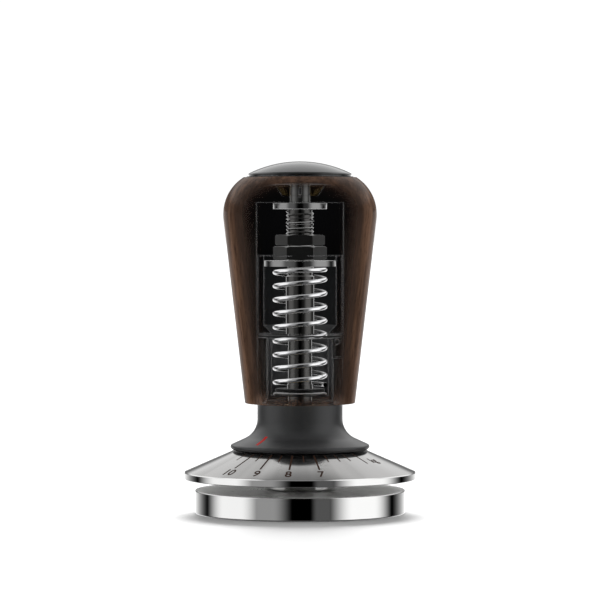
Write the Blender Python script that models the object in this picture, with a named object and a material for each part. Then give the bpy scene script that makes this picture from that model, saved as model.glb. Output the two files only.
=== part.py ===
"""Espresso tamper with a preloaded spring, a keyed dial skirt and a turned wooden handle.

Metres, +Z up. The origin is the centre of the tamping face. Pressing the handle down squeezes the
spring and lowers the dial skirt towards the tamping base. Turning the handle against the dial
screws the preload nuts along the threaded rod, and the pointer on the collar reads on the dial.
"""

import math

import bmesh
import bpy
from mathutils import Matrix, Vector

MM = 0.001

# Fits
GAP = 0.3 * MM  # between two pieces that touch or slide
LOOSE = 0.4 * MM  # between the barrel parts and the handle's bore

# Tamping base
BASE_RADIUS = 29.25 * MM
BASE_THICKNESS = 6.5 * MM
BASE_TOP_CHAMFER = 0.6 * MM
BASE_EDGE_CHAMFER = 0.2 * MM
SPIGOT_RADIUS = 5.2 * MM
SPIGOT_LENGTH = 3.7 * MM

# Piston stem
STEM_RADIUS = 9.8 * MM
STEM_NOSE_LENGTH = 5.6 * MM
GUIDE_RADIUS = 9.1 * MM  # what slides in the neck's bore: the stem's nose and the cup's lower wall

# Dial skirt
SKIRT_GAP = 3.0 * MM  # free travel of the skirt above the base
DIAL_RADIUS = 32.25 * MM
RIM_THICKNESS = 2.0 * MM
RIM_ROUND = 0.4 * MM
CONE_RISE = 5.8 * MM
LAND_RADIUS = 18.85 * MM
HUB_RADIUS = 11.9 * MM
HUB_RISE = 3.7 * MM
STOP_HEIGHT = 1.0 * MM
STOP_ANGLE = math.radians(17)
STOP_SLACK = math.radians(1)
TURN_TO_LEAST = math.radians(90)  # from the resting setting to the lowest one, anticlockwise from above
TURN_TO_MOST = math.radians(9)  # and clockwise to the highest one
UNDERCUT_DEPTH = 1.1 * MM
UNDERCUT_RADIUS = 27.0 * MM
SLIP_RING_INNER = 12.6 * MM
SLIP_RING_OUTER = 16.6 * MM
SLIP_RING_THICKNESS = 0.4 * MM
SNAP_RING_WIDTH = 1.4 * MM
SNAP_RING_THICKNESS = 0.8 * MM

# Collar
LIP_RADIUS = 19.33 * MM
LIP_UNDERCUT = 0.8 * MM
LIP_RISE = 1.2 * MM
FLARE_TOP_RADIUS = 15.3 * MM
FLARE_ANGLE = math.radians(25)
COLLAR_HEIGHT = 31.2 * MM
BARREL_RADIUS = 11.85 * MM  # the neck and the upper cup, both inside the handle's bore

# Wooden handle
HANDLE_STAND = 12.9 * MM  # from the collar's underside to the handle's lower end
HANDLE_LENGTH = 62.8 * MM
HANDLE_END_RADIUS = 15.36 * MM
HANDLE_BELLY_RADIUS = 21.34 * MM
HANDLE_SHOULDER_ROUND = 12.1 * MM
HANDLE_TOP_RADIUS = 15.67 * MM
HANDLE_EDGE = 0.4 * MM
HANDLE_WEB = 4.65 * MM  # wood left between the bore's ceiling and the cap recess

# Cap
CAP_RECESS_DEPTH = 2.25 * MM
CAP_DISC_RADIUS = 14.85 * MM
CAP_DISC_THICKNESS = 2.15 * MM
DOME_RADIUS = 14.36 * MM
DOME_HEIGHT = 3.9 * MM
DOME_EDGE_HEIGHT = 0.5 * MM
SCREW_HEAD_RADIUS = 6.2 * MM
SCREW_HEAD_THICKNESS = 0.8 * MM
SCREW_HEAD_DEPTH = 1.4 * MM
SHANK_RADIUS = 2.8 * MM
SCREW_TIP_RADIUS = 2.2 * MM
SCREW_TIP_LENGTH = 5.0 * MM
CONE_BASE_RADIUS = 4.7 * MM
CONE_TOP_RADIUS = 6.6 * MM
CONE_HEIGHT = 2.5 * MM
KEY_WIDTH = 0.7 * MM
KEY_DEPTH = 1.9 * MM
KEY_LENGTH = 2.1 * MM

# Threaded rod and preload nuts
FLANGE_RADIUS = 7.46 * MM
FLANGE_THICKNESS = 1.6 * MM
ROD_RADIUS = 3.9 * MM
ROD_SHANK_RADIUS = 3.3 * MM
ROD_COLLAR_RADIUS = 3.52 * MM
ROD_COLLAR_LENGTH = 2.6 * MM
ROD_TAIL = 3.1 * MM  # how far the rod reaches below the cup's inner floor
SLEEVE_WALL = 0.35 * MM
HEADROOM = 14.65 * MM  # from the cup's rim to the ceiling of the handle's bore
PLATE_DEPTH = 3.2 * MM  # from the cup's rim down to the plate's underside
PLATE_THICKNESS = 1.6 * MM
NUT_ACROSS_FLATS = 13.0 * MM
NUT_THICKNESS = 3.65 * MM
LOCK_NUT_ACROSS_FLATS = 12.0 * MM
LOCK_NUT_THICKNESS = 2.9 * MM
THREAD_PITCH = 1.0 * MM

# Spring cup
CUP_WALL = 1.65 * MM
CUP_LOWER_BORE = 7.97 * MM
CUP_LOWER_LENGTH = 18.6 * MM
CUP_CONE_HEIGHT = 2.4 * MM
CUP_FLOOR = 1.4 * MM
CUP_HUB_RADIUS = 5.45 * MM
CUP_HUB_ENGAGEMENT = 8.0 * MM
CUP_RIM_ROUND = 0.25 * MM
KEYWAY_WIDTH = 4.0 * MM
SLIP_WASHER_THICKNESS = 0.4 * MM

# Spring and what it stands on
SPRING_RADIUS = 7.6 * MM
WIRE_DIAMETER = 1.2 * MM
COIL_PITCH = 3.83 * MM
CLOSED_COIL = 0.5  # turns at each end that flatten onto their seat
CLOSED_RISE = 0.1  # how steep the coil still is at its very ends, as a share of its steepness between them
SEAT_RADIUS = 7.4 * MM
SEAT_THICKNESS = 0.5 * MM
THRUST_WASHER_RADIUS = 6.87 * MM
THRUST_WASHER_THICKNESS = 0.9 * MM
SEAT_BORE = 4.0 * MM
BUSH_WALL = 0.7 * MM
BUSH_LENGTH = 7.0 * MM
BUSH_DEPTH = 2.6 * MM  # from the cup's inner floor to the bush's top

# Detent
DETENT_WIDTH = 3.2 * MM
DETENT_HEIGHT = 5.8 * MM
BALL_RADIUS = 0.75 * MM
BALL_DEPTH = 1.1 * MM  # from the neck's top to the ball's centre
LEAF_THICKNESS = 0.25 * MM
LEAF_WIDTH = 2.2 * MM

# Facets round each turned piece
LARGE = 48
MEDIUM = 40
SMALL = 32
FINE = 24

# Heights up the axis, from the tamping face
z_base_top = BASE_THICKNESS
z_skirt = z_base_top + SKIRT_GAP
z_corner = z_skirt + RIM_THICKNESS
z_land = z_corner + CONE_RISE
z_collar = z_land + GAP
z_hub_top = z_land + HUB_RISE
z_pocket = z_hub_top + STOP_HEIGHT + GAP
z_neck_top = z_collar + COLLAR_HEIGHT
z_slip_washer = z_neck_top + GAP
z_cup_shoulder = z_slip_washer + SLIP_WASHER_THICKNESS + GAP
z_cup_bottom = z_cup_shoulder - CUP_LOWER_LENGTH
z_cup_floor = z_cup_bottom + CUP_FLOOR
z_handle = z_collar + HANDLE_STAND
z_handle_top = z_handle + HANDLE_LENGTH
z_recess = z_handle_top - CAP_RECESS_DEPTH
z_ceiling = z_recess - HANDLE_WEB
z_cup_rim = z_ceiling - HEADROOM
z_plate = z_cup_rim - PLATE_DEPTH
z_nut = z_plate + PLATE_THICKNESS + GAP
z_lock_nut = z_nut + NUT_THICKNESS + GAP
z_flange = z_ceiling - GAP - FLANGE_THICKNESS
z_rod_top = z_flange - GAP
z_rod_bottom = z_cup_floor - ROD_TAIL
z_stem_shoulder = z_pocket - SKIRT_GAP - GAP
z_stem_top = z_stem_shoulder + STEM_NOSE_LENGTH
z_cup_hub = z_stem_top - CUP_HUB_ENGAGEMENT
z_seat = z_cup_floor + GAP
z_thrust_washer = z_seat + SEAT_THICKNESS + GAP
z_spring = z_thrust_washer + THRUST_WASHER_THICKNESS + GAP
z_spring_top = z_plate - GAP
z_bush = z_cup_floor - BUSH_DEPTH - BUSH_LENGTH
z_disc = z_recess + GAP
z_disc_top = z_disc + CAP_DISC_THICKNESS
z_dome = z_disc_top + GAP
z_screw_seat = z_disc_top - SCREW_HEAD_DEPTH
z_cone = z_recess - GAP - CONE_HEIGHT

# How far the nuts may come down from the resting setting, and what the rib leaves free for the lug
nut_travel = THREAD_PITCH * TURN_TO_MOST / math.tau + GAP
stop_opening = STOP_ANGLE + TURN_TO_LEAST + TURN_TO_MOST + 2 * STOP_SLACK

# Radii that follow from a neighbour's size
neck_bore = GUIDE_RADIUS + GAP
stem_half_flats = GUIDE_RADIUS  # so that the nose passes the dial's keyed bore
handle_bore = BARREL_RADIUS + LOOSE
pocket_radius = HUB_RADIUS + GAP
dial_bore = STEM_RADIUS + GAP
cup_bore = BARREL_RADIUS - CUP_WALL
bush_bore = ROD_SHANK_RADIUS + GAP
bush_radius = bush_bore + BUSH_WALL
cup_hub_bore = bush_radius + GAP
nut_bore = ROD_RADIUS + GAP
shank_bore = SHANK_RADIUS + GAP


def clear_scene():
    for obj in list(bpy.data.objects):
        bpy.data.objects.remove(obj, do_unlink=True)


def material(name, colour, roughness, metallic):
    made = bpy.data.materials.new(name)
    made.use_nodes = True
    shader = made.node_tree.nodes["Principled BSDF"]
    shader.inputs["Base Color"].default_value = (*colour, 1.0)
    shader.inputs["Roughness"].default_value = roughness
    shader.inputs["Metallic"].default_value = metallic
    return made


def body_empty(name, parent=None):
    """The frame of a moving body, on the axis that it slides along or turns about."""
    empty = bpy.data.objects.new(name, None)
    bpy.context.scene.collection.objects.link(empty)
    empty.parent = parent
    return empty


def finish_mesh(bm, name, surface=None, body=None, z=0.0):
    """Turns a bmesh into an object with its faces pointing out."""
    bmesh.ops.recalc_face_normals(bm, faces=bm.faces)
    mesh = bpy.data.meshes.new(name)
    bm.to_mesh(mesh)
    bm.free()
    mesh.shade_smooth()
    mesh.set_sharp_from_angle(angle=math.radians(30))
    obj = bpy.data.objects.new(name, mesh)
    bpy.context.scene.collection.objects.link(obj)
    obj.location.z = z
    obj.parent = body
    if surface is not None:
        mesh.materials.append(surface)
    return obj


def spun(outline, facets, angle=math.tau):
    """Spins a closed outline of (radius, height) points about Z."""
    bm = bmesh.new()
    ring = [bm.verts.new((r, 0.0, z)) for r, z in outline]
    whole = math.isclose(angle, math.tau)
    if whole:
        edges = [bm.edges.new((a, b)) for a, b in zip(ring, ring[1:] + ring[:1]) if a.co.x or b.co.x]
        geometry = ring + edges
    else:
        geometry = [bm.faces.new(ring)]
    up = (0, 0, 1)
    bmesh.ops.spin(bm, geom=geometry, cent=(0, 0, 0), axis=up, angle=angle, steps=facets, use_merge=whole)
    bmesh.ops.remove_doubles(bm, verts=bm.verts, dist=1e-7)
    return bm


def turned(name, outline, z, body, surface, facets=SMALL):
    """A lathe-turned piece: its outline is given from its own lower end at height 0."""
    return finish_mesh(spun(outline, facets), name, surface, body, z)


def ring_outline(inner, outer, height, chamfer=0.0):
    if not chamfer:
        return [(inner, 0), (outer, 0), (outer, height), (inner, height)]
    return [
        (inner, 0),
        (outer - chamfer, 0),
        (outer, chamfer),
        (outer, height - chamfer),
        (outer - chamfer, height),
        (inner, height),
    ]


def arc(centre, radius, start, end, steps):
    """Points on an arc in the (radius, height) plane, both ends included, with angles in radians."""
    return [
        (
            centre[0] + radius * math.cos(start + (end - start) * i / steps),
            centre[1] + radius * math.sin(start + (end - start) * i / steps),
        )
        for i in range(steps + 1)
    ]


def box_mesh(low, high):
    bm = bmesh.new()
    bmesh.ops.create_cube(bm, size=1.0)
    size = Vector(high) - Vector(low)
    bmesh.ops.scale(bm, vec=size, verts=bm.verts)
    bmesh.ops.translate(bm, vec=Vector(low) + size / 2, verts=bm.verts)
    return bm


def prism_mesh(points, low, high):
    """An outline in the XY plane, extruded from height low to height high."""
    bm = bmesh.new()
    face = bm.faces.new([bm.verts.new((x, y, low)) for x, y in points])
    made = bmesh.ops.extrude_face_region(bm, geom=[face])["geom"]
    top = [item for item in made if isinstance(item, bmesh.types.BMVert)]
    bmesh.ops.translate(bm, vec=(0, 0, high - low), verts=top)
    return bm


def combine(target, operation, bm, label):
    """Cuts a tool shape from the target, or joins it on."""
    tool = finish_mesh(bm, f"{target.name}_{label}")
    tool.parent = target.parent
    tool.location = target.location
    tool.hide_render = True
    tool.display_type = "WIRE"
    modifier = target.modifiers.new(label, "BOOLEAN")
    modifier.operation = operation
    modifier.solver = "EXACT"
    modifier.object = tool


def tamping_base(body, surface):
    chamfer, edge = BASE_TOP_CHAMFER, BASE_EDGE_CHAMFER
    socket_floor = BASE_THICKNESS - SPIGOT_LENGTH - GAP
    outline = [
        (0, 0),
        (BASE_RADIUS - edge, 0),
        (BASE_RADIUS, edge),
        (BASE_RADIUS, BASE_THICKNESS - chamfer),
        (BASE_RADIUS - chamfer, BASE_THICKNESS),
        (SPIGOT_RADIUS + GAP, BASE_THICKNESS),
        (SPIGOT_RADIUS + GAP, socket_floor),
        (0, socket_floor),
    ]
    turned("tamping_base", outline, 0.0, body, surface, LARGE)


def piston_stem(body, surface):
    """The stem's flats key the dial, its nose guides the collar, and the cup's hub screws into its socket."""
    z = z_base_top + GAP - SPIGOT_LENGTH
    seat = SPIGOT_LENGTH
    shoulder, top = z_stem_shoulder - z, z_stem_top - z
    socket = CUP_HUB_RADIUS + GAP
    socket_floor = z_cup_hub - GAP - z
    outline = [
        (0, 0),
        (SPIGOT_RADIUS, 0),
        (SPIGOT_RADIUS, seat),
        (STEM_RADIUS, seat),
        (STEM_RADIUS, shoulder),
        (GUIDE_RADIUS, shoulder),
        (GUIDE_RADIUS, top),
        (socket, top),
        (socket, socket_floor),
        (0, socket_floor),
    ]
    stem = turned("piston_stem", outline, z, body, surface)
    reach = 1.2 * STEM_RADIUS
    for side, label in ((-1, "front_flat"), (1, "back_flat")):
        near, far = sorted((side * stem_half_flats, side * reach))
        combine(stem, "DIFFERENCE", box_mesh((-reach, near, seat - GAP), (reach, far, shoulder + GAP)), label)


def spring_cup(body, surface):
    """The cup holds the spring, hangs on the neck's top by its shoulder and screws into the stem."""
    z = z_cup_hub
    bottom, floor = z_cup_bottom - z, z_cup_floor - z
    shoulder, rim = z_cup_shoulder - z, z_cup_rim - z
    ledge = z_bush - GAP - z
    outline = [
        (cup_hub_bore - BUSH_WALL, 0),
        (CUP_HUB_RADIUS, 0),
        (CUP_HUB_RADIUS, bottom),
        (GUIDE_RADIUS, bottom),
        (GUIDE_RADIUS, shoulder),
        (BARREL_RADIUS, shoulder),
        (BARREL_RADIUS, rim - CUP_RIM_ROUND),
        (BARREL_RADIUS - CUP_RIM_ROUND, rim),
        (cup_bore + CUP_RIM_ROUND, rim),
        (cup_bore, rim - CUP_RIM_ROUND),
        (cup_bore, shoulder + CUP_CONE_HEIGHT),
        (CUP_LOWER_BORE, shoulder),
        (CUP_LOWER_BORE, floor),
        (cup_hub_bore, floor),
        (cup_hub_bore, ledge),
        (cup_hub_bore - BUSH_WALL, ledge),
    ]
    cup = turned("spring_cup", outline, z, body, surface)
    keyway_floor = z_plate - SKIRT_GAP - nut_travel - 2 * GAP - z
    for side, label in ((-1, "front_keyway"), (1, "back_keyway")):
        near, far = sorted((side * (cup_bore - 2 * GAP), side * (BARREL_RADIUS + 2 * GAP)))
        low = (-KEYWAY_WIDTH / 2, near, keyway_floor)
        high = (KEYWAY_WIDTH / 2, far, rim + GAP)
        combine(cup, "DIFFERENCE", box_mesh(low, high), label)


def coil_points(turns, height, radius, steps_per_turn=12):
    """A right-hand coil from +X, flattening over its closed ends, scaled to the height between its seats."""
    count = round(turns * steps_per_turn)
    rises = []
    for i in range(count):
        turn = (i + 0.5) * turns / count
        from_end = min(turn, turns - turn)
        opened = min(1.0, from_end / CLOSED_COIL)
        rises.append(CLOSED_RISE + (1 - CLOSED_RISE) * opened**2)
    scale = height / sum(rises)
    points, rise = [], 0.0
    for i in range(count + 1):
        angle = math.tau * turns * i / count
        points.append((radius * math.cos(angle), radius * math.sin(angle), rise * scale))
        if i < count:
            rise += rises[i]
    return points


def compression_spring(body, surface):
    height = z_spring_top - z_spring - WIRE_DIAMETER
    turns = round(2 * (height / COIL_PITCH + CLOSED_COIL)) / 2
    curve = bpy.data.curves.new("compression_spring", "CURVE")
    curve.dimensions = "3D"
    curve.bevel_depth = WIRE_DIAMETER / 2
    curve.bevel_resolution = 1
    curve.use_fill_caps = True
    spline = curve.splines.new("POLY")
    points = coil_points(turns, height, SPRING_RADIUS - WIRE_DIAMETER / 2)
    spline.points.add(len(points) - 1)
    for place, point in zip(spline.points, points):
        place.co = (*point, 1.0)
    curve.materials.append(surface)
    coil = bpy.data.objects.new("compression_spring", curve)
    bpy.context.scene.collection.objects.link(coil)
    coil.location.z = z_spring + WIRE_DIAMETER / 2
    coil.parent = body


def base_small_parts(body, steel, dark, bronze):
    turned("spring_seat", ring_outline(SEAT_BORE, SEAT_RADIUS, SEAT_THICKNESS), z_seat, body, steel, FINE)
    washer = ring_outline(SEAT_BORE, THRUST_WASHER_RADIUS, THRUST_WASHER_THICKNESS)
    turned("thrust_washer", washer, z_thrust_washer, body, dark, FINE)
    turned("guide_bush", ring_outline(bush_bore, bush_radius, BUSH_LENGTH), z_bush, body, bronze, FINE)


def dial_skirt(body, surface):
    """A flat-bottomed skirt under a cone that carries the scale, with a keyed hub inside the collar."""
    corner, land, hub_top = z_corner - z_skirt, z_land - z_skirt, z_hub_top - z_skirt
    slope = CONE_RISE / (DIAL_RADIUS - LAND_RADIUS)
    start_bore = stem_half_flats - 2 * GAP
    recess_inner, recess_outer = SLIP_RING_INNER - GAP, SLIP_RING_OUTER + GAP
    recess_floor = land - SLIP_RING_THICKNESS - GAP
    groove_floor = HUB_RADIUS - SNAP_RING_WIDTH / 2
    groove_low = land + (hub_top - land - SNAP_RING_THICKNESS) / 2 - GAP
    groove_high = groove_low + SNAP_RING_THICKNESS + 2 * GAP
    outline = [
        (start_bore, 0),
        (STEM_RADIUS + SKIRT_GAP, 0),
        (STEM_RADIUS + SKIRT_GAP + UNDERCUT_DEPTH, UNDERCUT_DEPTH),
        (UNDERCUT_RADIUS - UNDERCUT_DEPTH, UNDERCUT_DEPTH),
        (UNDERCUT_RADIUS, 0),
        (DIAL_RADIUS - RIM_ROUND / 2, 0),
        (DIAL_RADIUS, RIM_ROUND / 2),
        (DIAL_RADIUS, corner - RIM_ROUND),
        (DIAL_RADIUS - RIM_ROUND / 3, corner - RIM_ROUND / 4),
        (DIAL_RADIUS - RIM_ROUND, corner + slope * RIM_ROUND),
        (LAND_RADIUS, land),
        (recess_outer, land),
        (recess_outer, recess_floor),
        (recess_inner, recess_floor),
        (HUB_RADIUS, recess_floor),
        (HUB_RADIUS, groove_low),
        (groove_floor, groove_low),
        (groove_floor, groove_high),
        (HUB_RADIUS, groove_high),
        (HUB_RADIUS, hub_top),
        (start_bore, hub_top),
    ]
    skirt = turned("dial_skirt", outline, z_skirt, body, surface, LARGE)
    stop = spun(
        [
            (dial_bore + GAP, hub_top - STOP_HEIGHT),
            (HUB_RADIUS - GAP / 2, hub_top - STOP_HEIGHT),
            (HUB_RADIUS - GAP / 2, hub_top + STOP_HEIGHT),
            (dial_bore + GAP, hub_top + STOP_HEIGHT),
        ],
        4,
        STOP_ANGLE,
    )
    turn = Matrix.Rotation(math.pi / 2 - STOP_ANGLE / 2, 3, "Z")
    bmesh.ops.rotate(stop, matrix=turn, verts=stop.verts)
    combine(skirt, "UNION", stop, "stop_lug")
    bore = prism_mesh(double_d(dial_bore, stem_half_flats + GAP), -UNDERCUT_DEPTH, hub_top + 2 * STOP_HEIGHT)
    combine(skirt, "DIFFERENCE", bore, "keyed_bore")


def double_d(radius, half_flats, steps=14):
    """A round outline with two flats, across Y."""
    half = math.asin(half_flats / radius)
    right = [(radius * math.cos(a), radius * math.sin(a)) for a in spread(-half, half, steps)]
    return right + [(-x, -y) for x, y in right]


def spread(low, high, steps):
    return [low + (high - low) * i / steps for i in range(steps + 1)]


def dial_rings(body, plastic, steel):
    slip = ring_outline(SLIP_RING_INNER, SLIP_RING_OUTER, SLIP_RING_THICKNESS)
    turned("dial_slip_ring", slip, z_land - SLIP_RING_THICKNESS, body, plastic, MEDIUM)
    inner = HUB_RADIUS - SNAP_RING_WIDTH / 2 + GAP
    z = z_land + (z_hub_top - z_land - SNAP_RING_THICKNESS) / 2
    outline = ring_outline(inner, inner + SNAP_RING_WIDTH, SNAP_RING_THICKNESS)
    snap = turned("dial_snap_ring", outline, z, body, steel)
    gap = box_mesh((-SNAP_RING_WIDTH, 0, -GAP), (SNAP_RING_WIDTH, 2 * HUB_RADIUS, SNAP_RING_THICKNESS + GAP))
    combine(snap, "DIFFERENCE", gap, "ring_gap")


def collar(body, surface):
    """A flared skirt round the dial's hub, and a long neck that the handle is fixed on."""
    lip_edge = 0.3 * MM
    rise = math.tan(FLARE_ANGLE)
    lip, lip_top = LIP_RISE, LIP_RISE + lip_edge
    flare_top = lip_top + (LIP_RADIUS - LIP_UNDERCUT / 2 - FLARE_TOP_RADIUS) * rise
    throat_round = (FLARE_TOP_RADIUS - BARREL_RADIUS) / (1 - math.sin(FLARE_ANGLE))
    centre = (BARREL_RADIUS + throat_round, flare_top + throat_round * math.cos(FLARE_ANGLE))
    throat = arc(centre, throat_round, 1.5 * math.pi - FLARE_ANGLE, math.pi, 7)
    ceiling = z_pocket - z_collar
    ring_z = z_land + (z_hub_top - z_land - SNAP_RING_THICKNESS) / 2 - z_collar
    groove = HUB_RADIUS + SNAP_RING_WIDTH / 2 + 2 * GAP
    outline = [
        (pocket_radius, 0),
        (LIP_RADIUS - LIP_UNDERCUT, 0),
        (LIP_RADIUS, lip),
        (LIP_RADIUS - LIP_UNDERCUT / 2, lip_top),
        *throat,
        (BARREL_RADIUS, COLLAR_HEIGHT),
        (neck_bore, COLLAR_HEIGHT),
        (neck_bore, ceiling),
        (pocket_radius, ceiling),
        (pocket_radius, ring_z + SNAP_RING_THICKNESS + GAP),
        (groove, ring_z + SNAP_RING_THICKNESS + GAP),
        (groove, ring_z - GAP),
        (pocket_radius, ring_z - GAP),
    ]
    made = turned("collar", outline, z_collar, body, surface, MEDIUM)
    low_rib = ceiling - STOP_HEIGHT
    rib = spun(
        [
            (dial_bore, low_rib),
            (pocket_radius + GAP, low_rib),
            (pocket_radius + GAP, ceiling + GAP),
            (dial_bore, ceiling + GAP),
        ],
        MEDIUM,
        math.tau - stop_opening,
    )
    rib_start = math.pi / 2 + STOP_ANGLE / 2 + STOP_SLACK + TURN_TO_MOST
    bmesh.ops.rotate(rib, matrix=Matrix.Rotation(rib_start, 3, "Z"), verts=rib.verts)
    combine(made, "UNION", rib, "stop_rib")
    half = DETENT_WIDTH / 2
    low = (neck_bore - 2 * GAP, -half, COLLAR_HEIGHT - DETENT_HEIGHT)
    high = (BARREL_RADIUS + 2 * GAP, half, COLLAR_HEIGHT + GAP)
    combine(made, "DIFFERENCE", box_mesh(low, high), "detent_pocket")


def detent(body, surface):
    """A ball in the neck's pocket, pressed against the cup by a bent leaf."""
    inside = neck_bore + GAP / 2
    z_ball = z_neck_top - BALL_DEPTH
    bm = bmesh.new()
    bmesh.ops.create_uvsphere(bm, u_segments=12, v_segments=8, radius=BALL_RADIUS)
    ball = finish_mesh(bm, "detent_ball", surface, body, z_ball)
    ball.location.x = inside + BALL_RADIUS
    z_leaf = z_neck_top - DETENT_HEIGHT + GAP
    outer = BARREL_RADIUS - LEAF_THICKNESS - GAP / 2
    stem = inside + LEAF_THICKNESS
    tip = z_ball - z_leaf + BALL_RADIUS / 2
    line = [
        (outer, 0),
        (stem, 0),
        (stem, z_ball - z_leaf - BALL_RADIUS - 2 * LEAF_THICKNESS),
        (outer, z_ball - z_leaf - BALL_RADIUS / 2),
        (outer, tip),
    ]
    bm = bmesh.new()
    near = [bm.verts.new((x, -LEAF_WIDTH / 2, z)) for x, z in line]
    far = [bm.verts.new((x, LEAF_WIDTH / 2, z)) for x, z in line]
    for a, b, c, d in zip(near, near[1:], far[1:], far):
        bm.faces.new((a, b, c, d))
    leaf = finish_mesh(bm, "detent_leaf", surface, body, z_leaf)
    thick = leaf.modifiers.new("leaf_thickness", "SOLIDIFY")
    thick.thickness = LEAF_THICKNESS
    thick.offset = 0.0


def tangent_angle(point, centre, radius):
    """Angle on the circle where a line that rises from the point touches its outer side."""
    dx, dz = centre[0] - point[0], centre[1] - point[1]
    lean = math.atan2(dx, dz) + math.asin(radius / math.hypot(dx, dz))
    return -lean


def wooden_handle(body, surface):
    top, recess, ceiling = z_handle_top - z_handle, z_recess - z_handle, z_ceiling - z_handle
    centre_r = HANDLE_BELLY_RADIUS - HANDLE_SHOULDER_ROUND
    reach = HANDLE_TOP_RADIUS - centre_r
    centre = (centre_r, top - math.sqrt(HANDLE_SHOULDER_ROUND**2 - reach**2))
    start = tangent_angle((HANDLE_END_RADIUS, HANDLE_EDGE), centre, HANDLE_SHOULDER_ROUND)
    end = math.acos(reach / HANDLE_SHOULDER_ROUND)
    recess_radius = CAP_DISC_RADIUS + GAP
    outline = [
        (handle_bore, 0),
        (HANDLE_END_RADIUS - HANDLE_EDGE, 0),
        (HANDLE_END_RADIUS, HANDLE_EDGE),
        *arc(centre, HANDLE_SHOULDER_ROUND, start, end, 9),
        (recess_radius, top),
        (recess_radius, recess),
        (CONE_TOP_RADIUS + GAP, recess),
        (CONE_BASE_RADIUS + GAP, z_cone - GAP - z_handle),
        (shank_bore, z_cone - GAP - z_handle),
        (shank_bore, ceiling),
        (handle_bore, ceiling),
    ]
    turned("wooden_handle", outline, z_handle, body, surface, MEDIUM)


def cap(body, gloss, dark, steel, brass):
    """The cap's screw passes through the disc, the cone and the handle's web into the rod."""
    crown = (DOME_RADIUS**2 + (DOME_HEIGHT - DOME_EDGE_HEIGHT) ** 2) / (2 * (DOME_HEIGHT - DOME_EDGE_HEIGHT))
    rim_angle = math.acos(DOME_RADIUS / crown)
    dome = arc((0, DOME_HEIGHT - crown), crown, rim_angle, math.pi / 2, 6)
    turned("cap_dome", [(0, 0), (DOME_RADIUS, 0), *dome[:-1], (0, DOME_HEIGHT)], z_dome, body, gloss, MEDIUM)
    counterbore = SCREW_HEAD_RADIUS + GAP
    disc = [
        (shank_bore, 0),
        (CAP_DISC_RADIUS, 0),
        (CAP_DISC_RADIUS, CAP_DISC_THICKNESS),
        (counterbore, CAP_DISC_THICKNESS),
        (counterbore, z_screw_seat - z_disc),
        (shank_bore, z_screw_seat - z_disc),
    ]
    turned("cap_disc", disc, z_disc, body, dark)
    z_tip = z_rod_top - SCREW_TIP_LENGTH
    head = z_screw_seat + GAP - z_tip
    neck = z_flange - z_tip
    screw = [
        (0, 0),
        (SCREW_TIP_RADIUS, 0),
        (SCREW_TIP_RADIUS, neck),
        (SHANK_RADIUS, neck),
        (SHANK_RADIUS, head),
        (SCREW_HEAD_RADIUS, head),
        (SCREW_HEAD_RADIUS, head + SCREW_HEAD_THICKNESS),
        (0, head + SCREW_HEAD_THICKNESS),
    ]
    made = turned("cap_screw", screw, z_tip, body, steel, FINE)
    slot_low = z_cone - 2 * GAP
    slot_high = z_recess
    half_slot = KEY_WIDTH / 2 + GAP
    key_back = -SHANK_RADIUS + KEY_DEPTH / 2
    key_front = key_back - KEY_DEPTH
    low = (-half_slot, -SHANK_RADIUS - GAP, slot_low - z_tip)
    high = (half_slot, key_back + GAP, slot_high - z_tip)
    combine(made, "DIFFERENCE", box_mesh(low, high), "key_slot")
    z_key = z_cone + GAP / 2
    key = box_mesh((-KEY_WIDTH / 2, key_front, 0), (KEY_WIDTH / 2, key_back, KEY_LENGTH))
    finish_mesh(key, "cap_key", steel, body, z_key)
    cone = [(shank_bore, 0), (CONE_BASE_RADIUS, 0), (CONE_TOP_RADIUS, CONE_HEIGHT), (shank_bore, CONE_HEIGHT)]
    ring = turned("centring_cone", cone, z_cone, body, brass, FINE)
    keyway = box_mesh((-half_slot, key_front - GAP, -GAP), (half_slot, -SHANK_RADIUS / 2, CONE_HEIGHT + GAP))
    combine(ring, "DIFFERENCE", keyway, "keyway")


def rod_and_washers(body, black, steel, plastic):
    washer = ring_outline(shank_bore, FLANGE_RADIUS, FLANGE_THICKNESS)
    turned("flange_washer", washer, z_flange, body, black)
    z = z_rod_bottom
    boss = z_cup_floor + 2 * GAP - z
    step, top = z_cup_shoulder - z, z_rod_top - z
    socket = SCREW_TIP_RADIUS + GAP
    socket_floor = top - SCREW_TIP_LENGTH - GAP
    rod = [
        (0, 0),
        (ROD_SHANK_RADIUS, 0),
        (ROD_SHANK_RADIUS, boss),
        (ROD_COLLAR_RADIUS, boss),
        (ROD_COLLAR_RADIUS, boss + ROD_COLLAR_LENGTH),
        (ROD_SHANK_RADIUS, boss + ROD_COLLAR_LENGTH),
        (ROD_SHANK_RADIUS, step),
        (ROD_RADIUS, step),
        (ROD_RADIUS, top),
        (socket, top),
        (socket, socket_floor),
        (0, socket_floor),
    ]
    turned("threaded_rod", rod, z, body, black, FINE)
    sleeve_bore = ROD_RADIUS + GAP
    sleeve_height = z_plate - nut_travel - 2 * GAP - z_cup_shoulder
    sleeve = ring_outline(sleeve_bore, sleeve_bore + SLEEVE_WALL, sleeve_height)
    turned("rod_sleeve", sleeve, z_cup_shoulder, body, plastic, FINE)
    slip = ring_outline(GUIDE_RADIUS + GAP, BARREL_RADIUS, SLIP_WASHER_THICKNESS)
    turned("slip_washer", slip, z_slip_washer, body, plastic)


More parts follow.
